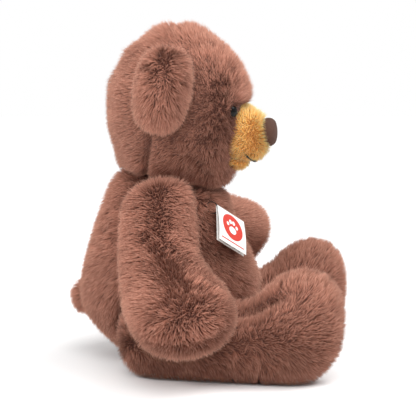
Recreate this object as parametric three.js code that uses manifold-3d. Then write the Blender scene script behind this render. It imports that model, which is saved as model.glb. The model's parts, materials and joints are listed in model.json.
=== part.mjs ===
// A jointed teddy bear, sitting. Millimetres, +Z up, the face towards -Y, the bear's right side at -X.
// The origin is on the ground, under the middle of the bear's outline.
// Every soft part is a sewn plush shell of separate cut panels, round a core of stuffing.
// Head, arms and legs each turn on a disc joint: a disc with a stem inside the limb, and a washer
// with a lock ring inside the torso.
import * as THREE from "three";
import { mergeVertices } from "three/addons/utils/BufferGeometryUtils.js";
import Module from "manifold-3d";

// ---------- driving dimensions ----------
const PILE = 5; // the long fur outside the cloth, which the panels leave out
const SHORT_PILE = 2; // the same on the clipped plush of the muzzle
const CLOTH = 2; // thickness of a panel, knitted back and dense root of the pile
const GAP = 0.3; // clearance between neighbouring pieces
const SEAM = 0.4; // space between two panels at a seam
const JOINT_GAP = 4; // space between torso and limb, where the fur is pressed flat
const STEM_RADIUS = 3;
const STEM_EASE = 0.5;
const DISC_THICKNESS = 3;
const WASHER_THICKNESS = 2.5;
const LOCK_RADIUS = 7;
const LOCK_THICKNESS = 3;
const SIDES = 14; // of a disc
const STEM_SIDES = 8;
const FLAT_SIDES = 12; // of the flat that a limb presses into the torso
const FAR = 400; // longer than the bear, for cutting boxes
const RIGHT = -1;
const LEFT = 1;
const degrees = THREE.MathUtils.degToRad;

// Each joint: where it lies on the torso, the way out of the torso, its disc, and the round flat
// that the limb presses into the torso.
const NECK_TILT = degrees(12);
const SHOULDER_TILT = degrees(25); // upwards
const SHOULDER_YAW = degrees(14); // backwards
const HIP_YAW = degrees(9);
const outward = (side, tilt, yaw) =>
  new THREE.Vector3(
    side * Math.cos(tilt) * Math.cos(yaw),
    Math.cos(tilt) * Math.sin(yaw),
    Math.sin(tilt),
  );
const NECK = {
  at: new THREE.Vector3(0, -2, 150),
  axis: new THREE.Vector3(0, -Math.sin(NECK_TILT), Math.cos(NECK_TILT)),
  disc: 26,
  flat: FAR,
};
const shoulder = (side) => ({
  at: new THREE.Vector3(side * 49, 0, 119),
  axis: outward(side, SHOULDER_TILT, SHOULDER_YAW),
  disc: 17,
  flat: FAR,
});
const hip = (side) => ({
  at: new THREE.Vector3(side * 49, 5, 31),
  axis: outward(side, 0, HIP_YAW),
  disc: 19,
  flat: 36,
});
// How far each arm is turned forwards from hanging straight, how far it bends outwards from the
// joint to its tip, how it is stretched along, and how much of the forward bend at its elbow it has.
const ARM_POSE = {
  [RIGHT]: { raise: degrees(14), bend: degrees(38), stretch: 1.08, elbow: 1 },
  [LEFT]: { raise: degrees(41), bend: degrees(50), stretch: 0.92, elbow: 0 },
};

// ---------- materials ----------
const finish = (color, roughness, metalness = 0) =>
  new THREE.MeshStandardMaterial({ color, roughness, metalness });
const PLUSH = finish(0x92614f, 0.95);
const GOLD_PLUSH = finish(0xdc9a55, 0.95);
const STUFFING = finish(0xf1efe8, 1);
const BOARD = finish(0x9c7b52, 0.8);
const NYLON = finish(0xe9e7df, 0.45);
const NOSE_CLOTH = finish(0x6d493a, 0.7);
const EYE_BLACK = finish(0x0b0909, 0.1);
const THREAD = finish(0x1a1210, 0.7);
const CARD = finish(0xf2efe9, 0.6);

// ---------- solids ----------
const wasm = await Module();
wasm.setup();

function solidOf(geometry) {
  const flat = geometry.index ? geometry.toNonIndexed() : geometry;
  const bare = new THREE.BufferGeometry().setAttribute("position", flat.getAttribute("position"));
  const merged = mergeVertices(bare, 1e-3);
  const vertProperties = new Float32Array(merged.attributes.position.array);
  const triVerts = new Uint32Array(merged.index.array);
  return new wasm.Manifold(new wasm.Mesh({ numProp: 3, vertProperties, triVerts }));
}

function meshOf(name, solid, material) {
  const { vertProperties, triVerts } = solid.getMesh();
  const geometry = new THREE.BufferGeometry()
    .setAttribute("position", new THREE.BufferAttribute(vertProperties, 3))
    .setIndex(new THREE.BufferAttribute(triVerts, 1));
  geometry.computeVertexNormals();
  const mesh = new THREE.Mesh(geometry, material);
  mesh.name = name;
  return mesh;
}

// Moves a geometry so that its own +Y stands at a point along an axis.
function stand(geometry, { at, axis }) {
  const turn = new THREE.Quaternion().setFromUnitVectors(new THREE.Vector3(0, 1, 0), axis);
  return geometry.applyQuaternion(turn).translate(at.x, at.y, at.z);
}

// A round rod along an axis, from one height above its point to another.
function rod(place, radius, from, to, sides = SIDES) {
  const shape = new THREE.CylinderGeometry(radius, radius, to - from, sides);
  return solidOf(stand(shape.translate(0, (from + to) / 2, 0), place));
}

// All of space beyond a plane, at a distance along its axis.
function beyond(place, distance = 0) {
  const shape = new THREE.BoxGeometry(2 * FAR, FAR, 2 * FAR);
  return solidOf(stand(shape.translate(0, FAR / 2 + distance, 0), place));
}
const opposite = ({ at, axis }) => ({ at, axis: axis.clone().negate() });
const split = (solid, plane) => [
  solid.intersect(beyond(plane, SEAM / 2)),
  solid.intersect(beyond(opposite(plane), SEAM / 2)),
];

// A rounded body made of level rings. Each station is [height, back, front, half width, middle],
// from the top down, and the first and last are the poles, which have no width.
function rounded(stations, sides, squareness = 2.2) {
  const body = new THREE.SphereGeometry(1, sides, stations.length - 1);
  const p = body.getAttribute("position");
  for (let i = 0; i < p.count; i++) {
    const polar = Math.acos(THREE.MathUtils.clamp(p.getY(i), -1, 1));
    const row = stations[Math.round((polar / Math.PI) * (stations.length - 1))];
    const [height, back, front, half, middle = 0] = row;
    const around = Math.atan2(-p.getZ(i), p.getX(i));
    const [c, s] = half ? [Math.cos(around), Math.sin(around)] : [0, 0];
    const length = (Math.abs(c) ** squareness + Math.abs(s) ** squareness) ** (-1 / squareness);
    const reach = half ? length : 0;
    const y = (back + front) / 2 + ((back - front) / 2) * s * reach;
    p.setXYZ(i, middle + half * c * reach, y, height);
  }
  return body;
}

// A closed geometry's solid, with its whole surface moved inwards.
function inset(geometry, depth) {
  const flat = geometry.toNonIndexed();
  const bare = new THREE.BufferGeometry().setAttribute("position", flat.getAttribute("position"));
  const moved = mergeVertices(bare, 1e-3);
  moved.computeVertexNormals();
  const p = moved.getAttribute("position");
  const n = moved.getAttribute("normal");
  const point = new THREE.Vector3();
  const normal = new THREE.Vector3();
  for (let i = 0; i < p.count; i++) {
    point.fromBufferAttribute(p, i).addScaledVector(normal.fromBufferAttribute(n, i), -depth);
    p.setXYZ(i, point.x, point.y, point.z);
  }
  return solidOf(moved);
}

const asItIs = (thing) => thing;

// A soft part from its furry outline. outer(depth) is its solid at a depth under the face of the
// cloth, and inner(depth) the plainer one for what the cloth hides. trim(solid, depth) cuts both
// where the part is pressed flat.
const everyOther = (stations) =>
  stations.filter((_, i) => i === stations.length - 1 || i % 2 === 0);
function softPart(stations, sides, { pile = PILE, place = asItIs, trim = asItIs } = {}) {
  const outline = place(rounded(stations, sides));
  const hidden = place(rounded(everyOther(stations), sides / 2));
  const outer = (depth) => trim(inset(outline, pile + depth), depth);
  const inner = (depth) => trim(inset(hidden, pile + depth), depth);
  return { outer, inner, shell: outer(0).subtract(inner(CLOTH)), core: inner(CLOTH + GAP) };
}

const X_AXIS = new THREE.Vector3(1, 0, 0);
const Y_AXIS = new THREE.Vector3(0, 1, 0);
const Z_AXIS = new THREE.Vector3(0, 0, 1);
const plane = (x, y, z, axis) => ({ at: new THREE.Vector3(x, y, z), axis });
const GROUND = plane(0, 0, 0, Z_AXIS);
const MIDDLE = plane(0, 0, 0, X_AXIS);

const bear = new THREE.Group();
const add = (name, solid, material, parent = bear) => parent.add(meshOf(name, solid, material));

// ---------- disc joints ----------
const FACE = JOINT_GAP / 2; // from the joint's middle to the cloth on either side
const INSIDE = FACE + CLOTH + GAP; // from the joint's middle to the first hard face on either side
const LOCK_AT = INSIDE + WASHER_THICKNESS + GAP;
const LOCK_END = LOCK_AT + LOCK_THICKNESS;
const stemHole = (joint) => rod(joint, STEM_RADIUS + STEM_EASE, -FAR, FAR, STEM_SIDES);

// The disc and stem that turn with the limb, and the pieces that hold the stem in the torso.
function discJoint(name, joint) {
  const disc = rod(joint, joint.disc, INSIDE, INSIDE + DISC_THICKNESS);
  const stem = rod(joint, STEM_RADIUS, -LOCK_END - 1, INSIDE + 1, STEM_SIDES);
  const washer = rod(joint, joint.disc, -INSIDE - WASHER_THICKNESS, -INSIDE);
  const lock = rod(joint, LOCK_RADIUS, -LOCK_END, -LOCK_AT, STEM_SIDES);
  add(`${name}_disc`, disc.add(stem), NYLON);
  add(`${name}_washer`, washer.subtract(stemHole(joint)), BOARD);
  add(`${name}_lock_ring`, lock.subtract(rod(joint, STEM_RADIUS + GAP, -FAR, FAR, STEM_SIDES)), NYLON);
}

// Room inside the cloth for the disc, and for the washer, the lock ring and the end of the stem.
const ROOM = 1.1; // an eight-sided room is this much wider than the round piece in it
const discRoom = (joint) =>
  rod(joint, joint.disc * ROOM, FACE + CLOTH, INSIDE + DISC_THICKNESS + GAP, STEM_SIDES)
    .add(stemHole(joint));
const washerRoom = (joint) =>
  rod(joint, joint.disc * ROOM, -LOCK_END - 2, -FACE - CLOTH, STEM_SIDES)
    .add(rod(joint, STEM_RADIUS + STEM_EASE, -LOCK_AT, FAR, STEM_SIDES));

// ---------- torso ----------
const TORSO = [
  [165, 14, -2, 0],
  [163, 38, -24, 24],
  [156, 50, -38, 38],
  [142, 58, -46, 47],
  [126, 63.5, -50, 54],
  [107, 70, -57, 60],
  [88.5, 75, -66, 66],
  [70, 79.5, -73, 69],
  [53.5, 80.5, -73, 67],
  [39, 76, -68, 62],
  [24, 65, -58, 55],
  [9.5, 49, -46, 46],
  [-4, 30, -30, 32],
  [-8.5, 4, -8, 0],
];
const TORSO_SIDE_SEAM = plane(0, -20, 0, Y_AXIS);
const JOINTS = {
  neck: NECK,
  right_shoulder: shoulder(RIGHT),
  left_shoulder: shoulder(LEFT),
  right_hip: hip(RIGHT),
  left_hip: hip(LEFT),
};

function trimTorso(solid, depth) {
  let cut = solid.intersect(beyond(GROUND, depth));
  for (const joint of Object.values(JOINTS)) {
    cut = cut.subtract(rod(joint, joint.flat + depth, -FACE - depth, FAR, FLAT_SIDES));
  }
  return cut;
}

const torso = softPart(TORSO, 16, { trim: trimTorso });

// A folded card hangs by one corner from a loop of thread, against the right of the chest.
// Its face, its top edge and its side edge run in these directions from that corner.
const TAG = { size: 33, thickness: 0.5, gap: 0.8, loop: 5, thread: 0.5, lift: 4, hole: 1 };
const TAG_TOP = new THREE.Vector3(21, -20, -16).normalize();
const TAG_SIDE = new THREE.Vector3(-22, -3, -24.5).normalize();
const TAG_FACE = TAG_SIDE.clone().cross(TAG_TOP).normalize();
const TAG_SEWN_AT = new THREE.Vector3(-35.5, -34.5, 129.5);

// The loop stands on the cloth and runs through the corner of the card.
function tagLoop(thread) {
  const inwards = TAG_TOP.clone().add(TAG_SIDE).projectOnPlane(TAG_FACE).normalize();
  const turn = new THREE.Matrix4().makeBasis(inwards, TAG_FACE, inwards.clone().cross(TAG_FACE));
  const loop = new THREE.TorusGeometry(TAG.loop, thread, 5, 12).applyMatrix4(turn);
  return solidOf(loop.translate(...TAG_SEWN_AT));
}
const loopRoom = tagLoop(TAG.thread + GAP);

function addTag() {
  const across = TAG_TOP.clone();
  const turn = new THREE.Matrix4().makeBasis(across, TAG_FACE.clone().cross(across), TAG_FACE);
  const corner = TAG_SEWN_AT.clone().addScaledVector(TAG_FACE, TAG.lift);
  const box = (height, thickness, depth) => {
    const shape = new THREE.BoxGeometry(TAG.size, depth, thickness);
    shape.translate(TAG.size / 2, -depth / 2, height + thickness / 2);
    return solidOf(shape.applyMatrix4(turn).translate(...corner));
  };
  const leaf = (height) => box(height, TAG.thickness, TAG.size);
  const fold = box(0, TAG.gap + 2 * TAG.thickness, TAG.thickness);
  const card = leaf(0).add(fold).add(leaf(TAG.gap + TAG.thickness));
  add("hang_tag", card.subtract(tagLoop(TAG.thread + TAG.hole)), CARD);
  add("hang_tag_loop", tagLoop(TAG.thread), THREAD);
}

function addTorso() {
  let shell = torso.shell.subtract(loopRoom);
  let core = torso.core.subtract(loopRoom);
  for (const joint of Object.values(JOINTS)) {
    shell = shell.subtract(washerRoom(joint));
    core = core.subtract(washerRoom(joint));
  }
  const [back, front] = split(shell, TORSO_SIDE_SEAM);
  for (const [place, half] of Object.entries({ back, front })) {
    const [left, right] = split(half, MIDDLE);
    add(`torso_${place}_left_panel`, left, PLUSH);
    add(`torso_${place}_right_panel`, right, PLUSH);
  }
  add("torso_stuffing", core, STUFFING);
}

// ---------- tail ----------
const TAIL = [
  [67, 74, 66, 0],
  [64, 82, 60, 8],
  [58, 87, 56, 13],
  [50, 88.5, 54, 14.5],
  [42, 86, 54, 13],
  [37, 80, 58, 8],
  [35, 74, 66, 0],
];

function addTail() {
  const tail = softPart(TAIL, 12, { pile: SHORT_PILE });
  const [upper, lower] = split(tail.shell.subtract(torso.outer(-GAP)), plane(0, 80, 51, Z_AXIS));
  add("tail_upper_panel", upper, PLUSH);
  add("tail_lower_panel", lower, PLUSH);
}

// ---------- head ----------
const HEAD = [
  [281, 2, -14, 0],
  [278, 14, -23, 20],
  [272, 23, -31, 33],
  [259, 38, -47, 47],
  [245, 47, -57, 57],
  [229, 55, -64, 64],
  [211, 57, -64, 68],
  [193, 54.5, -60, 69],
  [177, 50.5, -56, 66],
  [163, 49, -54, 60],
  [153, 44, -51, 53],
  [144, 34, -45, 42],
  [139, 16, -34, 26],
  [137, -4, -16, 0],
];
const SNOUT = [
  [218, -45, -53, 0],
  [215, -37, -61, 14],
  [208, -31, -71, 22],
  [199, -29, -77, 27],
  [188, -29, -79.5, 29],
  [177, -31, -79.5, 28],
  [169, -37, -77, 23],
  [164, -47, -72, 15],
  [162, -57, -65, 0],
];
const CHIN = [
  [175, -47, -55, 0],
  [172, -39, -63, 15],
  [165, -35, -66, 20],
  [159, -37, -63, 17],
  [156, -43, -58, 9],
  [155, -49, -53, 0],
];
const NOSE = [
  [201, -76, -80, 0],
  [199, -73, -83, 9],
  [194, -71, -85, 14.5],
  [187, -71, -85.5, 15],
  [181, -72, -84.5, 11],
  [178, -74, -82, 5],
  [177, -77, -80, 0],
];
// The seam from ear to ear over the crown, which leans forwards at the top.
const CROWN_LEAN = degrees(10.6);
const CROWN = plane(0, -5.6, 279, new THREE.Vector3(0, Math.cos(CROWN_LEAN), Math.sin(CROWN_LEAN)));
// The gusset between the cheeks, from the crown to the muzzle, narrower towards the front.
const GUSSET_HALF = 50;
const GUSSET_TAPER = degrees(11.3);
const GUSSET_END = 211;
const LIPS = plane(0, -65, 167, new THREE.Vector3(0, -0.5, 0.866));

const head = softPart(HEAD, 16, {
  trim: (solid, depth) => solid.intersect(beyond(NECK, FACE + depth)),
});
const snout = softPart(SNOUT, 12, { pile: SHORT_PILE });
const chin = softPart(CHIN, 12, { pile: SHORT_PILE });
const muzzle = {
  outer: (depth) => snout.outer(depth).add(chin.outer(depth)),
  inner: (depth) => snout.inner(depth).add(chin.inner(depth)),
};

// Eyes: a domed cap outside the cloth on a shank, held by a washer behind the cloth.
const EYE = { at: [31, -51, 207], cap: 5.8, dome: 4, shank: 1.8, reach: 12, washer: 7 };
const eyeSocket = (side) => ({
  at: new THREE.Vector3(side * EYE.at[0], EYE.at[1], EYE.at[2]),
  axis: new THREE.Vector3(side * 0.5, -0.85, 0.05).normalize(),
});
const eyeRoom = (side) =>
  rod(eyeSocket(side), EYE.shank + GAP, -EYE.reach - 1, FAR, 6)
    .add(rod(eyeSocket(side), EYE.cap + GAP, 0, FAR, 12))
    .add(rod(eyeSocket(side), EYE.washer + GAP, -EYE.reach - 1, -EYE.reach + 6, 10));

function addEye(name, side) {
  const socket = eyeSocket(side);
  const dome = [];
  for (let i = 0; i <= 4; i++) {
    const turn = (i / 4) * (Math.PI / 2);
    dome.push(new THREE.Vector2(EYE.cap * Math.cos(turn), GAP + EYE.dome * Math.sin(turn)));
  }
  dome[4].x = 0;
  const cap = new THREE.LatheGeometry([new THREE.Vector2(0, GAP), ...dome], 12);
  const shank = rod(socket, EYE.shank, -EYE.reach, GAP + 1, 6);
  const washer = rod(socket, EYE.washer, -EYE.reach + 3.5, -EYE.reach + 5, 10);
  add(`${name}_eye`, solidOf(stand(cap, socket)).add(shank), EYE_BLACK);
  add(`${name}_eye_washer`, washer.subtract(rod(socket, EYE.shank + GAP, -FAR, FAR, 6)), NYLON);
}

// The mouth: one stitch of thick thread in the fold between snout and chin.
const MOUTH = [
  [21, -58, 175],
  [18, -62.5, 169],
  [9, -66.5, 165.5],
  [0, -68, 165],
];
const MOUTH_THREAD = 0.8;
function mouthThread(radius) {
  const right = MOUTH.slice(0, -1).map(([x, y, z]) => new THREE.Vector3(-x, y, z));
  const left = MOUTH.map(([x, y, z]) => new THREE.Vector3(x, y, z));
  const extrudePath = new THREE.CatmullRomCurve3([...right, ...left.reverse()]);
  const section = new THREE.Shape().absarc(0, 0, radius, 0, 2 * Math.PI);
  return solidOf(
    new THREE.ExtrudeGeometry(section, { extrudePath, steps: 10, curveSegments: 3, bevelEnabled: false }),
  );
}

// Ears: plump round flaps that stand out from the sides of the head on the crown seam.
const EAR_AT = [68, 2, 225];
const EAR = [
  [37, 4, -4, 0],
  [34.5, 12, -12, 15],
  [27, 19, -19, 25],
  [12, 23, -23, 33],
  [-6, 23, -23, 34],
  [-22, 20, -20, 28],
  [-32, 13, -13, 17],
  [-36, 4, -4, 0],
];
const EAR_LEAN = degrees(9);
const EAR_INWARD = degrees(14);

function addEar(name, side) {
  const place = (geometry) =>
    geometry
      .rotateY(-side * EAR_INWARD)
      .rotateX(EAR_LEAN)
      .translate(side * EAR_AT[0], EAR_AT[1], EAR_AT[2]);
  const skin = softPart(EAR, 10, { place }).shell.subtract(head.outer(-GAP));
  const seam = new THREE.Vector3(0, Math.cos(EAR_LEAN), Math.sin(EAR_LEAN));
  const [back, front] = split(skin, plane(side * EAR_AT[0], EAR_AT[1], EAR_AT[2], seam));
  add(`${name}_ear_back_panel`, back, PLUSH);
  add(`${name}_ear_front_panel`, front, PLUSH);
}

function gussetWedge(grow) {
  const edge = (side) => {
    const inwards = new THREE.Vector3(-side * Math.cos(GUSSET_TAPER), Math.sin(GUSSET_TAPER), 0);
    return beyond(plane(side * (GUSSET_HALF + grow), 0, 0, inwards));
  };
  const above = beyond(plane(0, 0, GUSSET_END - grow, Z_AXIS));
  return edge(RIGHT).intersect(edge(LEFT)).intersect(above);
}

function addHead() {
  const thread = mouthThread(MOUTH_THREAD + GAP);
  const eyes = eyeRoom(RIGHT).add(eyeRoom(LEFT));
  const shell = head.shell.subtract(muzzle.outer(-GAP)).subtract(discRoom(NECK)).subtract(eyes);
  const [back, front] = split(shell, CROWN);
  const [backLeft, backRight] = split(back, MIDDLE);
  const [cheekLeft, cheekRight] = split(front.subtract(gussetWedge(SEAM / 2)), MIDDLE);
  add("head_back_left_panel", backLeft, PLUSH);
  add("head_back_right_panel", backRight, PLUSH);
  add("head_cheek_left_panel", cheekLeft, PLUSH);
  add("head_cheek_right_panel", cheekRight, PLUSH);
  add("head_gusset_panel", front.intersect(gussetWedge(-SEAM / 2)), PLUSH);
  add("head_stuffing", head.core.subtract(discRoom(NECK)).subtract(eyes), STUFFING);

  const outside = (solid) => solid.subtract(head.inner(CLOTH)).subtract(eyes).subtract(thread);
  const muzzleShell = muzzle.outer(0).subtract(muzzle.inner(CLOTH));
  const [snoutPanel, chinPanel] = split(outside(muzzleShell), LIPS);
  add("snout_panel", snoutPanel, GOLD_PLUSH);
  add("chin_panel", chinPanel, GOLD_PLUSH);
  add("muzzle_stuffing", outside(muzzle.inner(CLOTH + GAP)), STUFFING);
  add("nose", solidOf(rounded(NOSE, 12)).subtract(muzzle.outer(-GAP)), NOSE_CLOTH);
  add("mouth_thread", mouthThread(MOUTH_THREAD), THREAD);
  addEye("right", RIGHT);
  addEye("left", LEFT);
  addEar("right", RIGHT);
  addEar("left", LEFT);
}

// ---------- limbs ----------
// A limb is built beside its joint: X across, Y backwards, Z up, with the joint at the origin.
// Its group then stands at the joint, in line with the joint's axis and turned forwards.
function limbGroup(joint, side, raise) {
  const across = joint.axis.clone().multiplyScalar(side);
  const back = Z_AXIS.clone().cross(across).normalize();
  const turn = new THREE.Matrix4().makeBasis(across, back, across.clone().cross(back));
  const group = new THREE.Group();
  group.applyMatrix4(turn.multiply(new THREE.Matrix4().makeRotationX(-raise)));
  group.position.copy(joint.at);
  bear.add(group);
  return group;
}
const localJoint = (joint, side) => ({
  ...joint,
  at: new THREE.Vector3(),
  axis: new THREE.Vector3(side, 0, 0),
});

const ARM = [
  [28, 6, -10, 0],
  [23, 18, -23, 14],
  [16, 28, -30, 20],
  [-2, 34, -32, 24],
  [-33, 36, -32, 26],
  [-51, 35, -38, 27],
  [-69, 33, -50, 28],
  [-87, 28, -60, 28],
  [-105, 20, -63, 27],
  [-119, 10, -59, 23],
  [-129, -4, -48, 15],
  [-135, -19, -29, 0],
];
const ARM_OFFSET = 23; // from the joint's middle to the middle of the arm
const ARM_LENGTH = 119; // from the joint to the tip of the stuffing

// Bends a hanging limb outwards along a circle, from the height of the joint down.
function bendOutwards(limb, side, perLength) {
  const p = limb.getAttribute("position");
  for (let i = 0; i < p.count; i++) {
    const height = p.getZ(i);
    if (height >= 0) continue;
    const radius = 1 / perLength - side * p.getX(i);
    const turn = -height * perLength;
    p.setX(i, side * (1 / perLength - radius * Math.cos(turn)));
    p.setZ(i, -radius * Math.sin(turn));
  }
  return limb;
}

function addArm(name, side) {
  const joint = localJoint(shoulder(side), side);
  const { raise, bend, stretch, elbow } = ARM_POSE[side];
  const place = (geometry) =>
    bendOutwards(geometry, side, bend / ARM_LENGTH).translate(side * ARM_OFFSET, 0, 0);
  const trim = (solid, depth) => solid.intersect(beyond(joint, FACE + depth));
  const stations = ARM.map(([height, back, front, half]) => {
    const straighter = ((1 - elbow) * (back + front)) / 2;
    return [height * stretch, back - straighter, front - straighter, half];
  });
  const arm = softPart(stations, 12, { place, trim });
  const seamAxis = new THREE.Vector3(side * Math.cos(bend / 2), 0, Math.sin(bend / 2));
  const seam = plane(side * ARM_OFFSET, 0, 0, seamAxis);
  const [outer, inner] = split(arm.shell.subtract(discRoom(joint)), seam);
  const group = limbGroup(shoulder(side), side, raise);
  add(`${name}_arm_outer_panel`, outer, PLUSH, group);
  add(`${name}_arm_inner_panel`, inner, PLUSH, group);
  add(`${name}_arm_stuffing`, arm.core.subtract(discRoom(joint)), STUFFING, group);
}

// A leg's stations run forwards from its back end: [distance, top, bottom, half width].
const LEG = [
  [-29, 8, -2, 0],
  [-27, 18, -14, 14],
  [-20, 27, -26, 23],
  [-6, 33, -36, 29],
  [15, 36, -39, 31],
  [40, 35, -39, 32],
  [64, 33, -39, 32],
  [80, 36, -39, 32],
  [94, 47, -39, 33],
  [109, 57.5, -38, 34],
  [126, 60, -33, 33],
  [141, 55, -22, 28],
  [151, 43, -8, 19],
  [155, 28, 12, 0],
];
const LEG_OFFSET = 29;
const LEG_SEAM_ROLL = degrees(38); // the seam along the leg is turned outwards at the top
const SOLE_AT = 140;

function addLeg(name, side) {
  const joint = localJoint(hip(side), side);
  const place = (geometry) => geometry.rotateX(-Math.PI / 2).translate(side * LEG_OFFSET, 0, 0);
  const ground = plane(0, 0, -hip(side).at.z, Z_AXIS);
  const trim = (solid, depth) =>
    solid.intersect(beyond(joint, FACE + depth)).intersect(beyond(ground, depth));
  const stations = LEG.map(([distance, top, bottom, half]) => [-distance, -bottom, -top, half]);
  const leg = softPart(stations, 12, { place, trim });
  const seam = plane(
    side * LEG_OFFSET,
    0,
    10,
    new THREE.Vector3(side * Math.cos(LEG_SEAM_ROLL), 0, -Math.sin(LEG_SEAM_ROLL)),
  );
  const [upper, sole] = split(leg.shell.subtract(discRoom(joint)), plane(0, -SOLE_AT, 0, Y_AXIS));
  const [outer, inner] = split(upper, seam);
  const group = limbGroup(hip(side), side, 0);
  add(`${name}_leg_outer_panel`, outer, PLUSH, group);
  add(`${name}_leg_inner_panel`, inner, PLUSH, group);
  add(`${name}_leg_sole_panel`, sole, PLUSH, group);
  add(`${name}_leg_stuffing`, leg.core.subtract(discRoom(joint)), STUFFING, group);
}

addTorso();
addTail();
for (const [name, joint] of Object.entries(JOINTS)) discJoint(name, joint);
addHead();
for (const [name, side] of Object.entries({ right: RIGHT, left: LEFT })) {
  addArm(name, side);
  addLeg(name, side);
}
addTag();

const outline = new THREE.Box3().setFromObject(bear, true);
const middle = outline.getCenter(new THREE.Vector3());
bear.position.set(-middle.x, -middle.y, -outline.min.z);

export default bear;
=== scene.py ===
import json
import math

import bmesh
import bpy
import numpy as np
from mathutils import Matrix, Vector


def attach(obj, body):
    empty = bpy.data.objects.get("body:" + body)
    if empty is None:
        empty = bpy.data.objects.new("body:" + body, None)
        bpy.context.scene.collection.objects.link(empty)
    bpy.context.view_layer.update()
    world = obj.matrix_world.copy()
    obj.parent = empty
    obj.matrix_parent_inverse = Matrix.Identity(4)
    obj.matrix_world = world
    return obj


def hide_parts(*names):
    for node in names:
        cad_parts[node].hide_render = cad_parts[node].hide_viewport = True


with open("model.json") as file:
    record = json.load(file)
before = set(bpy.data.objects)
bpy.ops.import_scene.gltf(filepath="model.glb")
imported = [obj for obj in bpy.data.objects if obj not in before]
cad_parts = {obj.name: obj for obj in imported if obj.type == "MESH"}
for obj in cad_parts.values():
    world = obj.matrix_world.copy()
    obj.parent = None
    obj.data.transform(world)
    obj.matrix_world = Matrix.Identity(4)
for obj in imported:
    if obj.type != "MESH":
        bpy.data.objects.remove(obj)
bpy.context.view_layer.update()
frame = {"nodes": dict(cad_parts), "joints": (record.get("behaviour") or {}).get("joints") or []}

# A jointed plush bear. Shapes are worked out in millimetres in the part's own frame, where the
# middle of the torso is at x = 0, and to_frame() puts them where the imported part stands.
MM = 0.001
NODES = frame["nodes"]
JOINT = {j["name"]: j for j in frame["joints"]}
NECK_AT = np.array([0.0, -2.0, 150.0])
ORIGIN = np.array(JOINT["neck_turn"]["pos_m"]) / MM - NECK_AT
RIGHT, LEFT = -1, 1
SIDES = {"right": RIGHT, "left": LEFT}


def to_frame(points):
    return (np.asarray(points, float) + ORIGIN) * MM


def unit(v):
    v = np.asarray(v, float)
    return v / np.maximum(np.linalg.norm(v, axis=-1, keepdims=True), 1e-9)


def add_object(name, data):
    made = bpy.data.objects.new(name, data)
    bpy.context.scene.collection.objects.link(made)
    return made


# ---- camera and light
def look_from(azimuth, elevation, distance, target):
    a, e = math.radians(azimuth), math.radians(elevation)
    back = Vector((math.sin(a) * math.cos(e), -math.cos(a) * math.cos(e), math.sin(e)))
    place = Vector(target) + back * distance
    return Matrix.Translation(place) @ back.to_track_quat("Z", "Y").to_matrix().to_4x4()


DISTANCE = 1.4
FIELD = 0.3453  # width of the view at the bear
SENSOR = 36
camera = add_object("camera", bpy.data.cameras.new("camera"))
camera.data.sensor_width = SENSOR
camera.data.lens = SENSOR * DISTANCE / FIELD
camera.data.clip_start, camera.data.clip_end = 0.05, 20
aim = to_frame((0, -28, 125.5))
camera.matrix_world = look_from(-85, 6, DISTANCE, aim)
bpy.context.scene.camera = camera


def add_light(name, kind, azimuth, elevation, distance, energy, **settings):
    data = bpy.data.lights.new(name, kind)
    data.energy = energy
    for key, value in settings.items():
        setattr(data, key, value)
    add_object(name, data).matrix_world = look_from(azimuth, elevation, distance, aim)


add_light("overhead", "SUN", 5, 58, 2, 1.85, angle=math.radians(42))
add_light("key", "AREA", -142, 30, 1.7, 12, shape="DISK", size=1.0)
add_light("fill", "AREA", -84, 46, 2.0, 21, shape="DISK", size=1.4)

# white behind everything, but a softer light from it on the bear and the floor
world = bpy.data.worlds.new("studio")
bpy.context.scene.world = world
world.use_nodes = True
sky = world.node_tree.nodes
seen = sky.new("ShaderNodeLightPath")
strength = sky.new("ShaderNodeMapRange")
strength.inputs["To Min"].default_value = 0.53
strength.inputs["To Max"].default_value = 1.0
world.node_tree.links.new(seen.outputs["Is Camera Ray"], strength.inputs["Value"])
sky["Background"].inputs["Color"].default_value = (1, 1, 1, 1)
world.node_tree.links.new(strength.outputs["Result"], sky["Background"].inputs["Strength"])
bpy.context.scene.view_settings.view_transform = "Standard"


# ---- materials
class Nodes:
    """A material's node tree, with short calls for the nodes used here."""

    def __init__(self, name):
        self.material = bpy.data.materials.new(name)
        self.material.use_nodes = True
        self.tree = self.material.node_tree
        self.shader = self.tree.nodes["Principled BSDF"]

    def add(self, kind, inputs=None, **settings):
        node = self.tree.nodes.new(kind)
        for key, value in settings.items():
            setattr(node, key, value)
        self.set(node, inputs or {})
        return node

    def set(self, node, inputs):
        for key, value in inputs.items():
            if isinstance(value, bpy.types.NodeSocket):
                self.tree.links.new(value, node.inputs[key])
            else:
                node.inputs[key].default_value = value


def linear(r, g, b):
    """An sRGB colour, 0 to 255, as linear light."""
    return tuple(((c / 255 + 0.055) / 1.055) ** 2.4 if c > 10 else c / 3295 for c in (r, g, b)) + (1,)


def ramp(nodes, factor, stops):
    node = nodes.add("ShaderNodeValToRGB", {"Fac": factor})
    elements = node.color_ramp.elements
    while len(elements) < len(stops):
        elements.new(0.5)
    for element, (position, color) in zip(elements, stops):
        element.position = position
        element.color = color
    return node.outputs["Color"]


DARK, LIGHT = 0.66, 1.36  # what the darkest and the lightest lock's colour is multiplied by
ALONG_LOCK = (0.0, 0.35, 0.7, 1.0)


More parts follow.
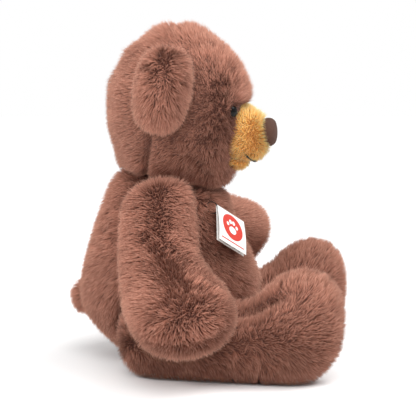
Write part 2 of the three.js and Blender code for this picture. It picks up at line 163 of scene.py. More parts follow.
def fur_material(name, *colors):
    """Fur whose colour runs from root to tip of each lock, darker at the root as painted shade and
    lighter at the tip as painted light, and varies from lock to lock.
    """
    nodes = Nodes(name)
    uv = nodes.add("ShaderNodeUVMap", uv_map="OFBake").outputs["UV"]
    split = nodes.add("ShaderNodeSeparateXYZ", {"Vector": uv})
    stops = [(at, linear(*color)) for at, color in zip(ALONG_LOCK, colors)]
    along = ramp(nodes, split.outputs["Y"], stops)
    tone = ramp(
        nodes,
        split.outputs["X"],
        [(0.0, (DARK, DARK * 0.97, DARK * 0.95, 1)), (1.0, (LIGHT, LIGHT * 0.98, LIGHT * 0.96, 1))],
    )
    mix = nodes.add(
        "ShaderNodeMix",
        {"Factor": 1.0, 6: along, 7: tone},
        data_type="RGBA",
        blend_type="MULTIPLY",
        clamp_result=True,
    )
    surface = {
        "Base Color": mix.outputs[2],
        "Roughness": 0.85,
        "Specular IOR Level": 0.15,
        "Sheen Weight": 0.3,
        "Sheen Roughness": 0.5,
        "Sheen Tint": stops[-1][1],
    }
    nodes.set(nodes.shader, surface)
    return nodes.material


def surface_material(name, low, high, scale, roughness, bump=0.0, wave=False, specular=0.5):
    """A plain surface with a fine grain in its colour and height."""
    nodes = Nodes(name)
    place = {"Vector": nodes.add("ShaderNodeTexCoord").outputs["Object"], "Scale": scale}
    if wave:
        grain = nodes.add("ShaderNodeTexWave", {**place, "Distortion": 2.0, "Detail": 2.0})
    else:
        grain = nodes.add("ShaderNodeTexNoise", {**place, "Detail": 6.0})
    value = grain.outputs["Fac"]
    color = ramp(nodes, value, [(0.3, linear(*low)), (0.7, linear(*high))])
    surface = {"Base Color": color, "Roughness": roughness, "Specular IOR Level": specular}
    if bump:
        height = {"Height": value, "Strength": bump, "Distance": 0.0006}
        surface["Normal"] = nodes.add("ShaderNodeBump", height).outputs["Normal"]
    nodes.set(nodes.shader, surface)
    return nodes.material


# root to tip colours of the locks: the darker roots are painted shade, the lighter tips painted light
BROWN_FUR = fur_material("brown_fur", (104, 65, 53), (142, 94, 78), (174, 120, 102), (214, 164, 143))
GOLD_FUR = fur_material("gold_fur", (226, 142, 60), (244, 170, 86), (252, 196, 120), (255, 236, 200))
BROWN_CLOTH = surface_material("brown_backing", (84, 54, 46), (112, 76, 66), 900, 0.95, 0.6)
GOLD_CLOTH = surface_material("gold_backing", (168, 100, 44), (205, 138, 70), 900, 0.95, 0.6)
NOSE_CLOTH = surface_material("nose_velvet", (66, 40, 30), (92, 60, 46), 1500, 0.85, 0.5)
EYE_GLOSS = surface_material("eye_gloss", (5, 4, 4), (14, 10, 9), 60, 0.2, specular=0.2)
THREAD = surface_material("black_thread", (14, 9, 8), (40, 28, 25), 700, 0.6, 0.8, wave=True)
CARD = surface_material("tag_card", (236, 234, 230), (250, 249, 246), 500, 0.55, 0.05)
RED_INK = surface_material("tag_ink", (198, 44, 30), (214, 62, 44), 800, 0.5)
STUFFING = surface_material("fibre_fill", (214, 212, 205), (246, 245, 240), 300, 1.0, 0.8)
HARDBOARD = surface_material("hardboard", (124, 94, 60), (166, 132, 92), 1200, 0.85, 0.3)
NYLON = surface_material("joint_nylon", (226, 223, 214), (238, 236, 228), 80, 0.4, 0.05)


# ---- meshes
def mesh_object(name, points, faces, material, smooth=True):
    """An object from points in millimetres and faces of any size."""
    mesh = bpy.data.meshes.new(name)
    mesh.from_pydata(to_frame(points).tolist(), [], [list(map(int, f)) for f in faces])
    mesh.validate()
    if smooth:
        mesh.shade_smooth()
    mesh.materials.append(material)
    return add_object(name, mesh)


def spline(rows, per):
    """A smooth curve through the rows. The first and the last row only steer its ends."""
    out = []
    for i in range(len(rows) - 3):
        a, b, c, d = rows[i : i + 4]
        for k in range(per):
            t = k / per
            bend = 2 * a - 5 * b + 4 * c - d + t * (3 * (b - c) + d - a)
            out.append(b + 0.5 * t * (c - a + t * bend))
    return np.array(out + [rows[-2]])


def loft_rows(stations, per):
    """Smooth rows of height, middle, reach and half width from (height, back, front, half width)
    stations. The first and the last station are the tips."""
    rows = np.array(
        [(height, (back + front) / 2, (back - front) / 2 if half else 0, half)
         for height, back, front, half in stations],
        float,
    )
    mirror = np.array([1, 1, -1, -1])
    return spline(np.vstack([rows[1] * mirror, rows, rows[-2] * mirror]), per)


def loft(stations, segments, per=4, squareness=2.2):
    """A closed shape with rounded, slightly square sections."""
    rows = loft_rows(stations, per)
    around = np.arange(segments) / segments * 2 * math.pi
    c, s = np.cos(around), np.sin(around)
    reach = (np.abs(c) ** squareness + np.abs(s) ** squareness) ** (-1 / squareness)
    rings = rows[1:-1]
    x = rings[:, 3:4] * c * reach
    y = rings[:, 1:2] + rings[:, 2:3] * s * reach
    z = np.repeat(rings[:, 0:1], segments, 1)
    body = np.stack([x, y, z], -1).reshape(-1, 3)
    poles = [[0, rows[i, 1], rows[i, 0]] for i in (0, -1)]
    points = np.vstack([body, poles])
    top, bottom = len(body), len(body) + 1
    faces = []
    last = (len(rings) - 1) * segments
    for j in range(segments):
        k = (j + 1) % segments
        faces.append((top, j, k))
        faces.append((bottom, last + k, last + j))
        for i in range(len(rings) - 1):
            a = i * segments
            faces.append((a + j, a + segments + j, a + segments + k, a + k))
    return points, faces


def triangles(faces):
    return np.array([(f[0], f[i], f[i + 1]) for f in faces for i in range(1, len(f) - 1)])


def point_normals(points, tris):
    a, b, c = points[tris[:, 0]], points[tris[:, 1]], points[tris[:, 2]]
    flat = np.cross(b - a, c - a)
    normals = np.zeros_like(points)
    for k in range(3):
        np.add.at(normals, tris[:, k], flat)
    return unit(normals)


def shrink(points, faces, depth):
    return points - point_normals(points, triangles(faces)) * depth


def evaluated(obj):
    """The object's mesh with its modifiers applied, as points in metres and faces."""
    mesh = bpy.data.meshes.new_from_object(obj.evaluated_get(bpy.context.evaluated_depsgraph_get()))
    points = np.empty(len(mesh.vertices) * 3)
    mesh.vertices.foreach_get("co", points)
    faces = [tuple(p.vertices) for p in mesh.polygons]
    bpy.data.meshes.remove(mesh)
    return points.reshape(-1, 3), faces


PUFF_FRAMES = 14
PUFF_CAP = 2.5  # how far the stuffing may push the cloth out


def stuff(points, faces, voxel, held=None, cap=PUFF_CAP):
    """Sews and stuffs a shape: an even mesh, blown up a little by a cloth simulation where
    held(points) is false, and subdivided once."""
    obj = mesh_object("work", points, faces, BROWN_CLOTH)
    remesh = obj.modifiers.new("remesh", "REMESH")
    remesh.mode = "VOXEL"
    remesh.voxel_size = voxel * MM
    start, faces = evaluated(obj)
    bpy.data.objects.remove(obj)
    mesh = bpy.data.meshes.new("work")
    mesh.from_pydata(start.tolist(), [], faces)
    obj = add_object("work", mesh)
    pinned = held((start / MM) - ORIGIN) if held else np.zeros(len(start), bool)
    group = obj.vertex_groups.new(name="held")
    group.add([int(i) for i in np.flatnonzero(pinned)], 1.0, "REPLACE")
    cloth = obj.modifiers.new("cloth", "CLOTH")
    cloth.settings.quality = 4
    cloth.settings.use_pressure = True
    cloth.settings.uniform_pressure_force = 4
    cloth.settings.effector_weights.gravity = 0
    cloth.settings.vertex_group_mass = "held"
    cloth.point_cache.frame_start = 1
    cloth.point_cache.frame_end = PUFF_FRAMES
    for number in range(1, PUFF_FRAMES + 1):
        bpy.context.scene.frame_set(number)
    puffed, _ = evaluated(obj)
    bpy.context.scene.frame_set(1)
    move = puffed - start
    far = np.linalg.norm(move, axis=1, keepdims=True)
    start = start + move * np.minimum(1, cap * MM / np.maximum(far, 1e-9))
    obj.modifiers.clear()
    obj.data.vertices.foreach_set("co", start.ravel())
    obj.data.update()
    smooth = obj.modifiers.new("smooth", "SMOOTH")
    smooth.iterations = 4
    fine = obj.modifiers.new("fine", "SUBSURF")
    fine.levels = 1
    points, faces = evaluated(obj)
    bpy.data.objects.remove(obj)
    return points / MM - ORIGIN, faces


# ---- joints, as planes
FACE = 2  # from a joint's middle to the cloth on either side
FLAT = FACE + 0.5  # and to the skin, where the joint presses it flat
AT_FLAT = FLAT + 1.2  # whatever is nearer than this to a joint's middle belongs to the flat
SKIN = 2  # the skin lies this far under the face of the CAD cloth where it meets the ground
INSET = 6.4  # from the furry outline to the skin, before stuffing
LIMB_INSET = 6.0
TAIL_INSET, MUZZLE_INSET, EAR_INSET = 3.5, 4.0, 5.0
EVERYWHERE = 400  # a radius that takes in the whole bear


def outward(side, tilt, yaw):
    """A joint's axis, pointing out of the torso on one side."""
    tilt, yaw = math.radians(tilt), math.radians(yaw)
    return np.array(
        [side * math.cos(tilt) * math.cos(yaw), math.cos(tilt) * math.sin(yaw), math.sin(tilt)]
    )


NECK_AXIS = np.array([0, -math.sin(math.radians(12)), math.cos(math.radians(12))])
SHOULDER = {s: (np.array([s * 49.0, 0, 119]), outward(s, 25, 14)) for s in (RIGHT, LEFT)}
HIP = {s: (np.array([s * 49.0, 5, 31]), outward(s, 0, 9)) for s in (RIGHT, LEFT)}
FLATS = [
    (NECK_AT, NECK_AXIS, EVERYWHERE),
    *[(*SHOULDER[s], EVERYWHERE) for s in (RIGHT, LEFT)],
    *[(*HIP[s], 36) for s in (RIGHT, LEFT)],
]


def from_axis(points, at, axis):
    """How far points lie along a joint's axis, and away from it."""
    off = points - at
    height = off @ axis
    return height, np.linalg.norm(off - height[:, None] * axis, axis=1)


def press(points, at, axis, limit, radius=EVERYWHERE):
    """Presses flat whatever stands beyond a plane at limit along its axis, inside a radius."""
    height, away = from_axis(points, at, axis)
    over = np.where((height > limit) & (away < radius), height - limit, 0)
    return points - over[:, None] * axis


SEAM_HELD = 2.2


def past(points, seam):
    """How far points lie beyond a seam, which is a plane."""
    at, axis = seam
    return (points - at) @ axis


def on_seams(points, seams):
    """Where a skin is sewn, which the stuffing does not push out."""
    held = np.zeros(len(points), bool)
    for seam in seams:
        held |= np.abs(past(points, seam)) < SEAM_HELD
    return held


X, Y, Z = np.eye(3)


def hump(x, width):
    """1 at 0, and falls away to both sides."""
    return np.exp(-((x / width) ** 2))


def rises(x, at, width):
    return 1 / (1 + np.exp((at - x) / width))


def falls(x, at, width):
    return rises(-x, -at, width)


# ---- fur
class Waves:
    """A smooth random field over space, about -1 to 1."""

    def __init__(self, seed, wavelength, count=24):
        rng = np.random.default_rng(seed)
        ways = unit(rng.normal(size=(count, 3)))
        self.k = ways * 2 * math.pi / (wavelength * rng.uniform(0.7, 1.5, (count, 1)))
        self.phase = rng.uniform(0, 2 * math.pi, count)
        self.gain = 1.6 / math.sqrt(count)

    def __call__(self, points):
        return np.sin(points @ self.k.T + self.phase).sum(1) * self.gain


def scatter(points, tris, cell, rng):
    """Even random spots on a mesh, one to a cell: places, and the skin's smooth normals."""
    normals = point_normals(points, tris)
    a, b, c = (points[tris[:, k]] for k in range(3))
    area = np.linalg.norm(np.cross(b - a, c - a), axis=1) / 2
    count = int(area.sum() / cell**2 * 4)
    pick = rng.choice(len(tris), count, p=area / area.sum())
    u, v = rng.random((2, count))
    over = u + v > 1
    u, v = np.where(over, 1 - u, u), np.where(over, 1 - v, v)
    weights = np.stack([1 - u - v, u, v], 1)[:, :, None]
    places = (points[tris[pick]] * weights).sum(1)
    ways = unit((normals[tris[pick]] * weights).sum(1))
    cells = np.floor(places / cell).astype(np.int64)
    keys = (cells[:, 0] * 73856093) ^ (cells[:, 1] * 19349663) ^ (cells[:, 2] * 83492791)
    _, first = np.unique(keys, return_index=True)
    return places[first], ways[first]


def gather(places, size, rng):
    """For each place, the number of the tuft that it belongs to."""
    shift = np.stack([Waves(int(rng.integers(1e9)), size * 2.5)(places) for _ in range(3)], 1)
    cells = np.floor((places + shift * size * 0.45) / size).astype(np.int64)
    _, tuft = np.unique(cells, axis=0, return_inverse=True)
    return tuft.ravel()


CELL = 1.08  # one lock to a cell of this size
TUFT = 4.5  # the size of the tufts that locks gather in
ROOT_DEPTH = 0.6  # how deep a lock's root lies in the skin
LOWEST = 0.35  # no lock reaches nearer to the ground
WORN = 2.0  # the coat's length where it is pressed


def on_ground(p, n):
    return (n[:, 2] < -0.9) & (p[:, 2] < 5)


def on_joint(own, n, turn, side):
    """Whether places on a limb belong to the flat that meets the torso."""
    return (own[:, 0] * side < AT_FLAT) & (n @ turn[:, 0] * side < -0.5)


def fur(names, skin, body, style, label=None, material=BROWN_FUR, seed=1):
    """Plants tapered, three-sided locks over a skin, and joins them into one piece for each
    name. style(places, normals) gives each lock's length, its comb direction, how many degrees
    it leans from upright, how tousled it is and its tone, which carries painted light and shade
    as well as random variation. A length of 0 leaves the lock out, and the lean and the tone may
    be one number for all."""
    rng = np.random.default_rng(seed)
    points, faces = skin
    places, normals = scatter(points, triangles(faces), CELL, rng)
    length, comb, lean, tousle, tone = style(places, normals)
    count = len(places)
    spin = Waves(seed + 1, 14)(places) * 0.5 + Waves(seed + 2, 6)(places) * 0.35
    tuft = gather(places, TUFT, rng)
    tuft_count = tuft.max() + 1
    spin = (spin + rng.normal(size=tuft_count)[tuft] * 0.45) * tousle + rng.normal(size=count) * 0.25
    along = unit(comb - (comb * normals).sum(1, keepdims=True) * normals)
    across = np.cross(normals, along)
    c, s = np.cos(spin)[:, None], np.sin(spin)[:, None]
    along, across = along * c + across * s, across * c - along * s
    lean = np.radians(
        lean + rng.normal(size=tuft_count)[tuft] * 9 * tousle + rng.normal(size=count) * 8
    )
    lean = np.clip(lean, 0.05, 1.35)[:, None]
    reach = (length * rng.uniform(0.72, 1.1, count))[:, None]
    way = normals * np.cos(lean) + along * np.sin(lean)
    root = places - normals * ROOT_DEPTH
    tip = root + way * reach
    sums = np.zeros((tuft_count, 3))
    np.add.at(sums, tuft, tip)
    centre = sums / np.bincount(tuft, minlength=tuft_count)[:, None]
    tip = tip + (centre[tuft] - tip) * (0.04 + 0.24 * tousle)[:, None]

    half = (0.42 * CELL * rng.uniform(0.75, 1.25, count))[:, None]
    up = unit(np.cross(tip - root, across))
    up = np.where((up * normals).sum(1, keepdims=True) < 0, -up, up)
    low = root - up * half * 0.3
    vertices = np.stack([low + across * half, low - across * half, root + up * half * 0.9, tip], 1)
    sides = [across * 0.45, -across * 0.45, along * 0.1, way * 0.5]
    facing = np.stack([normals + side for side in sides], 1)
    tone = tone + rng.normal(size=count) * 0.23 + rng.normal(size=tuft_count)[tuft] * 0.08
    tone = np.clip(0.5 + tone, 0.04, 0.96)[:, None]
    across_lock = tone + [[0.0, 0.02, 0.01, 0.01]]
    along_lock = np.broadcast_to([[0.02, 0.02, 0.05, 1.0]], (count, 4))
    uv = np.stack([across_lock, along_lock], -1)
    pattern = np.array([(0, 3, 1), (1, 3, 2), (2, 3, 0)])
    # turns each lock the right way out
    a, b, c = vertices[:, 0], vertices[:, 1], vertices[:, 2]
    inside_out = (np.cross(b - a, c - a) * (tip - a)).sum(1) > 0
    vertices[:, :, 2] = np.maximum(vertices[:, :, 2], LOWEST)
    kinds = label(places) if label else np.zeros(count, int)
    for number, name in enumerate(names):
        chosen = (length > 0.01) & (kinds == number)
        total = int(chosen.sum())
        tris = pattern[None] + (np.arange(total) * 4)[:, None, None]
        flipped = inside_out[chosen][:, None, None]
        tris = np.where(flipped, tris[:, :, ::-1], tris).reshape(-1, 3)
        mesh = bpy.data.meshes.new(name)
        mesh.vertices.add(total * 4)
        mesh.vertices.foreach_set("co", to_frame(vertices[chosen].reshape(-1, 3)).ravel())
        mesh.loops.add(len(tris) * 3)
        mesh.loops.foreach_set("vertex_index", tris.ravel().astype(np.int32))
        mesh.polygons.add(len(tris))
        mesh.polygons.foreach_set("loop_start", np.arange(len(tris), dtype=np.int32) * 3)
        mesh.update(calc_edges=True)
        mesh.shade_smooth()
        layer = mesh.uv_layers.new(name="OFBake")
        layer.uv.foreach_set("vector", uv[chosen].reshape(-1, 2)[tris.ravel()].ravel())
        mesh.normals_split_custom_set_from_vertices(unit(facing[chosen].reshape(-1, 3)).tolist())
        mesh.materials.append(material)
        obj = add_object(name, mesh)
        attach(obj, body)


def skin_object(name, skin, body, nodes, material=BROWN_CLOTH):
    obj = mesh_object(name, *skin, material)
    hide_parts(*nodes)
    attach(obj, body)


# ---- torso
TORSO = [
    (165, 14, -2, 0),
    (163, 38, -24, 24),
    (156, 50, -38, 38),
    (142, 58, -46, 47),
    (126, 63.5, -50, 54),
    (107, 70, -57, 60),
    (88.5, 75, -66, 66),
    (70, 79.5, -73, 69),
    (53.5, 80.5, -73, 67),
    (39, 76, -68, 62),
    (24, 65, -58, 55),
    (9.5, 49, -46, 46),
    (-4, 30, -30, 32),
    (-8.5, 4, -8, 0),
]
TORSO_SIDE_SEAM = (np.array([0, -20, 0]), Y)
MIDDLE_SEAM = (np.zeros(3), X)
TORSO_PARTS = ("back_left", "back_right", "front_left", "front_right")


def press_torso(points, depth):
    for at, axis, radius in FLATS:
        points = press(points, at, axis, -FLAT - depth, radius + SKIN + depth)
    return press(points, np.zeros(3), -Z, -SKIN - depth)


def draw_in(skin, seams, depth=1.0, width=2.6):
    """Draws a stuffed skin in along its seams."""
    points, faces = skin
    normals = point_normals(points, triangles(faces))
    pull = np.zeros(len(points))
    for seam in seams:
        pull = np.maximum(pull, hump(past(points, seam), width))
    return points - normals * pull[:, None] * depth, faces


def make_torso():
    points, faces = loft(TORSO, 56)
    points = press_torso(shrink(points, faces, INSET), 1)
    seams = [TORSO_SIDE_SEAM, MIDDLE_SEAM]
    points, faces = stuff(points, faces, 5, lambda p: on_seams(p, seams))
    points = press_torso(points, 0)
    skin = draw_in((points, faces), seams)
    skin_object(
        "torso_skin",
        skin,
        "torso",
        ["torso_stuffing"] + [f"torso_{part}_panel" for part in TORSO_PARTS],
    )
    soft = Waves(3, 60)

    def style(p, n):
        length, lean = np.full(len(p), 9.0), np.full(len(p), 42.0)
        # painted light and shade: the locks grow lighter towards the top and the back, and darker at
        # the front under the arms
        tone = 0.06 * soft(p) + 0.0016 * (p[:, 2] - 80) + 0.12 * np.clip(p[:, 1] / 40, -1, 0.4)
        for at, axis, radius in FLATS:
            height, away = from_axis(p, at, axis)
            close = (height > -AT_FLAT) & (away < radius + 3) & (n @ axis > 0.5)
            if radius < EVERYWHERE:
                length[close] = 3.5
                length[close & (away < 22)] = 0
            elif axis is NECK_AXIS:
                length[close] = WORN
            else:
                # beside the arm the coat is short round the disc, longer further out, and
                # stands nearly upright
                length[close] = np.clip(WORN + (away[close] - 24) / 2, WORN, 8)
                lean[close] = 13
        length[on_ground(p, n)] = WORN
        back = np.where(p[:, 1] < -20, -0.25, 0.35)
        comb = np.stack([p[:, 0] * 0.004, back, np.full(len(p), -1.0)], 1)
        tousle = 0.36 + 0.12 * soft(p)
        return length, comb, lean, np.clip(tousle, 0.08, 1), tone

    fur(
        [f"torso_{part}_fur" for part in TORSO_PARTS],
        skin,
        "torso",
        style,
        lambda p: np.where(p[:, 1] > -20, 0, 2) + (p[:, 0] < 0),
        seed=11,
    )


# ---- tail
TAIL = [
    (67, 74, 66, 0),
    (64, 82, 60, 8),
    (58, 87, 56, 13),
    (50, 88.5, 54, 14.5),
    (42, 86, 54, 13),
    (37, 80, 58, 8),
    (35, 74, 66, 0),
]


def make_tail():
    points, faces = loft(TAIL, 28)
    skin = stuff(shrink(points, faces, TAIL_INSET), faces, 3, cap=1)
    skin_object("tail_skin", skin, "torso", ["tail_upper_panel", "tail_lower_panel"])

    def style(p, n):
        length = np.where(p[:, 1] > 66, 7.5, 0)
        comb = np.tile([0.0, 0.5, -1.0], (len(p), 1))
        return length, comb, 35.0, np.full(len(p), 0.6), 0.16

    fur(
        ["tail_upper_fur", "tail_lower_fur"],
        skin,
        "torso",
        style,
        lambda p: (p[:, 2] < 51).astype(int),
        seed=12,
    )


# ---- where the ears stand
EAR_AT = np.array([68.0, 2, 225])
EAR = [
    (37, 4, -4, 0),
    (34.5, 12, -12, 15),
    (27, 19, -19, 25),
    (12, 23, -23, 33),
    (-6, 23, -23, 34),
    (-22, 20, -20, 28),
    (-32, 13, -13, 17),
    (-36, 4, -4, 0),
]
EAR_LEAN, EAR_INWARD = math.radians(9), math.radians(14)


def ear_place(side):
    """The ear's own axes, as the columns of a matrix, and its middle."""
    lean = np.array(Matrix.Rotation(EAR_LEAN, 3, "X"))
    tip_in = np.array(Matrix.Rotation(-side * EAR_INWARD, 3, "Y"))
    return lean @ tip_in, EAR_AT * [side, 1, 1]


# ---- head
HEAD = [
    (281, 2, -14, 0),
    (278, 14, -23, 20),
    (272, 23, -31, 33),
    (259, 38, -47, 47),
    (245, 47, -57, 57),
    (229, 55, -64, 64),
    (211, 57, -64, 68),
    (193, 54.5, -60, 69),
    (177, 50.5, -56, 66),
    (163, 49, -54, 60),
    (153, 44, -51, 53),
    (144, 34, -45, 42),
    (139, 16, -34, 26),
    (137, -4, -16, 0),
]
CROWN_LEAN = math.radians(10.6)
CROWN = (np.array([0, -5.6, 279]), np.array([0, math.cos(CROWN_LEAN), math.sin(CROWN_LEAN)]))
GUSSET_HALF, GUSSET_TAPER, GUSSET_END = 50, math.radians(11.3), 211
MUZZLE_AT = np.array([0, -70, 190])
EYE_AT = np.array([31.0, -51, 207])
HEAD_PARTS = ("back_left", "back_right", "cheek_left", "cheek_right", "gusset")


def gusset_edge(p):
    """How far inside the crown gusset a point lies."""
    side = (GUSSET_HALF - np.abs(p[:, 0])) * math.cos(GUSSET_TAPER)
    return np.minimum(side + p[:, 1] * math.sin(GUSSET_TAPER), p[:, 2] - GUSSET_END)


def make_head():
    points, faces = loft(HEAD, 56)
    points = shrink(points, faces, INSET)
    points = press(points, NECK_AT, -NECK_AXIS, -FLAT - 1)

    def held(p):
        front = past(p, CROWN) < 0
        seam = on_seams(p, [CROWN]) | (front & (np.abs(gusset_edge(p)) < SEAM_HELD))
        return seam | (~front & on_seams(p, [MIDDLE_SEAM]))

    points, faces = stuff(points, faces, 5, held)
    points = press(points, NECK_AT, -NECK_AXIS, -FLAT)
    skin = draw_in((points, faces), [CROWN], 1.6)
    low = skin[0][:, 2] < 200
    deeper = draw_in(skin, [CROWN], 2.2, 3.2)[0]
    skin[0][low] = deeper[low]
    skin_object(
        "head_skin",
        skin,
        "head",
        [f"head_{part}_panel" for part in HEAD_PARTS] + ["head_stuffing"],
    )
    soft, patch = Waves(5, 50), Waves(6, 28)

    def style(p, n):
        length = 9.0 + 0.8 * patch(p)
        behind = past(p, CROWN)
        # painted light: the locks grow lighter towards the top and lighter still over the crown.
        # Behind the crown seam they are darker.
        tone = 0.05 * soft(p) + 0.0022 * (p[:, 2] - 207)
        tone += 0.16 * rises(p[:, 2], 226, 7) - 0.10 * rises(behind, 4, 6)
        tousle = 0.34 + 0.08 * patch(p)
        # the coat is shorter along the crown seam and darker there with painted shade, most below the
        # ear
        seam, below_ear = hump(behind, 3.0), falls(p[:, 2], 195, 4)
        length *= 1 - (0.25 + 0.3 * below_ear) * seam
        tone -= (0.12 + 0.3 * below_ear) * seam
        comb = unit(p - MUZZLE_AT) + [0, 0.2, -0.35]
        brow = hump(p[:, 2] - 219, 8) * falls(p[:, 1], -48, 4)
        comb = comb * (1 - brow)[:, None] + np.array([0, -1.1, 0.1]) * brow[:, None]
        length += 2.0 * brow
        # the rim over the neck hangs down over the joint, and is darker there with painted shade
        height = (p - NECK_AT) @ NECK_AXIS
        rim = hump(height - FACE, 7) * (np.abs(n @ NECK_AXIS) < 0.75)
        comb = comb - NECK_AXIS * (1.5 * rim)[:, None]
        tone -= 0.12 * rim
        under = (height < AT_FLAT) & (n @ NECK_AXIS < -0.5)
        length[under] = WORN
        # shorter round the foot of each ear, and darker there with painted shade from the ear
        for side in (RIGHT, LEFT):
            turn, centre = ear_place(side)
            off = (p - centre) @ turn
            out = np.hypot(off[:, 1] / 25, off[:, 2] / 38) - 1
            foot = (p[:, 0] * side > 30) * hump(np.maximum(out, 0), 0.42)
            tone -= 0.20 * foot
            length *= 1 - 0.4 * foot
        around = p - MUZZLE_AT
        muzzle = (np.abs(around[:, 0]) < 25) & (np.abs(around[:, 2] + 2) < 24) & (p[:, 1] < -30)
        length[muzzle] = 0
        for side in (RIGHT, LEFT):
            eye = np.linalg.norm(p - (EYE_AT * [side, 1, 1] - Y), axis=1)
            length = np.where(eye < 5.0, 0, np.where(eye < 9, np.minimum(length, 5.5), length))
        # the cheeks are more tousled, lean further and are darker with painted shade
        cheek = falls(p[:, 1], -5, 5) * falls(p[:, 2], 235, 6) * (np.abs(p[:, 0]) > 30)
        tousle = np.clip(tousle + 0.25 * cheek, 0.1, 1.1)
        return length, comb, 36 + 6 * cheek, tousle, tone - 0.14 * cheek

    def label(p):
        front = np.where(gusset_edge(p) > 0, 4, np.where(p[:, 0] > 0, 2, 3))
        return np.where(past(p, CROWN) > 0, np.where(p[:, 0] > 0, 0, 1), front)

    fur([f"head_{part}_fur" for part in HEAD_PARTS], skin, "head", style, label, seed=21)


# ---- muzzle
SNOUT = [
    (218, -45, -53, 0),
    (215, -37, -61, 14),
    (208, -31, -71, 22),
    (199, -29, -77, 27),
    (188, -29, -79.5, 29),
    (177, -31, -79.5, 28),
    (169, -37, -77, 23),
    (164, -47, -72, 15),
    (162, -57, -65, 0),
]
CHIN = [
    (175, -47, -55, 0),
    (172, -39, -63, 15),
    (165, -35, -66, 20),
    (159, -37, -63, 17),
    (156, -43, -58, 9),
    (155, -49, -53, 0),
]
NOSE = [
    (201, -76, -80, 0),
    (199, -73, -83, 9),
    (194, -71, -85, 14.5),
    (187, -71, -85.5, 15),
    (181, -72, -84.5, 11),
    (178, -74, -82, 5),
    (177, -77, -80, 0),
]


def make_muzzle():
    parts = (
        ("snout", SNOUT, ["snout_panel", "muzzle_stuffing"], 22),
        ("chin", CHIN, ["chin_panel"], 23),
    )
    for name, stations, nodes, seed in parts:
        points, faces = loft(stations, 36)
        skin = stuff(shrink(points, faces, MUZZLE_INSET), faces, 3, cap=1)
        skin_object(f"{name}_skin", skin, "head", nodes, GOLD_CLOTH)

        def style(p, n):
            length = np.full(len(p), 5.0)
            length[p[:, 1] > -36] = 0
            ring = np.hypot(p[:, 0] / 13, (p[:, 2] - 189) / 10)
            front = p[:, 1] < -68
            length[front & (ring < 1)] = 0
            if name == "snout":
                length[(p[:, 2] < 168) & (n[:, 2] < -0.6)] = 3
            comb = unit(p - [0, -92, 192])
            close = hump(np.maximum(ring - 1, 0), 0.5) * front
            length[length > 4] += 2.6 * close[length > 4]
            # painted light: the muzzle's locks are lifted overall and grow lighter towards the top
            tone = 0.22 + 0.008 * (p[:, 2] - 182) + 0.06 * Waves(8, 20)(p)
            return length, comb, 34 - 22 * close, np.full(len(p), 0.3), tone + 0.15 * close

        fur([f"{name}_fur"], skin, "head", style, material=GOLD_FUR, seed=seed)


def make_nose():
    points, faces = loft(NOSE, 32, squareness=2.3)
    obj = mesh_object("nose_pad", *stuff(points, faces, 1.6, cap=0.6), NOSE_CLOTH)
    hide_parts("nose")
    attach(obj, "head")


def make_eyes():
    for name, side in SIDES.items():
        at = EYE_AT * [side, 1, 1]
        axis = Vector((side * 0.5, -0.85, 0.05)).normalized()
        mesh = bmesh.new()
        bmesh.ops.create_uvsphere(mesh, u_segments=32, v_segments=20, radius=5.6 * MM)
        flat = Matrix.Diagonal((1, 1, 0.74, 1))
        turn = axis.to_track_quat("Z", "Y").to_matrix().to_4x4()
        place = Matrix.Translation(Vector(to_frame(at)) - axis * 1.3 * MM)
        mesh.transform(place @ turn @ flat)
        data = bpy.data.meshes.new(f"{name}_eye_bead")
        mesh.to_mesh(data)
        mesh.free()
        data.shade_smooth()
        data.materials.append(EYE_GLOSS)
        obj = add_object(f"{name}_eye_bead", data)
        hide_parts(f"{name}_eye")
        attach(obj, "head")


def tube(name, path, radius, material, twist, sides=10, closed=False):
    """A round thread along a path in millimetres, with a slight lay in its surface."""
    path = np.asarray(path, float)
    count = len(path)
    ahead = np.roll(path, -1, 0) - np.roll(path, 1, 0)
    if not closed:
        ahead[0], ahead[-1] = path[1] - path[0], path[-1] - path[-2]
    ahead = unit(ahead)
    side = unit(np.cross(ahead[0], Z if abs(ahead[0][2]) < 0.9 else X))
    points, faces = [], []
    for i in range(count):
        side = unit(side - (side @ ahead[i]) * ahead[i])
        other = np.cross(ahead[i], side)
        for j in range(sides):
            a = 2 * math.pi * j / sides
            r = radius * (1 + twist * math.sin(2 * a + i * 1.4))
            points.append(path[i] + (side * math.cos(a) + other * math.sin(a)) * r)
    for i in range(count if closed else count - 1):
        k = (i + 1) % count
        for j in range(sides):
            m = (j + 1) % sides
            faces.append((i * sides + j, i * sides + m, k * sides + m, k * sides + j))
    if not closed:
        faces.append(tuple(range(sides))[::-1])
        faces.append(tuple(range((count - 1) * sides, count * sides)))
    return mesh_object(name, points, faces, material)


def curve_through(points, per=8):
    points = np.asarray(points, float)
    return spline(np.vstack([2 * points[0] - points[1], points, 2 * points[-1] - points[-2]]), per)


MOUTH = np.array([(21.0, -58, 175), (18, -62.5, 169), (9, -66.5, 165.5), (0, -68, 165)])


def make_mouth():
    right = MOUTH[:-1] * [-1, 1, 1]
    path = curve_through(np.vstack([right, MOUTH[::-1]]))
    obj = tube("mouth_stitch", path, 0.75, THREAD, twist=0.12)
    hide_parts("mouth_thread")
    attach(obj, "head")


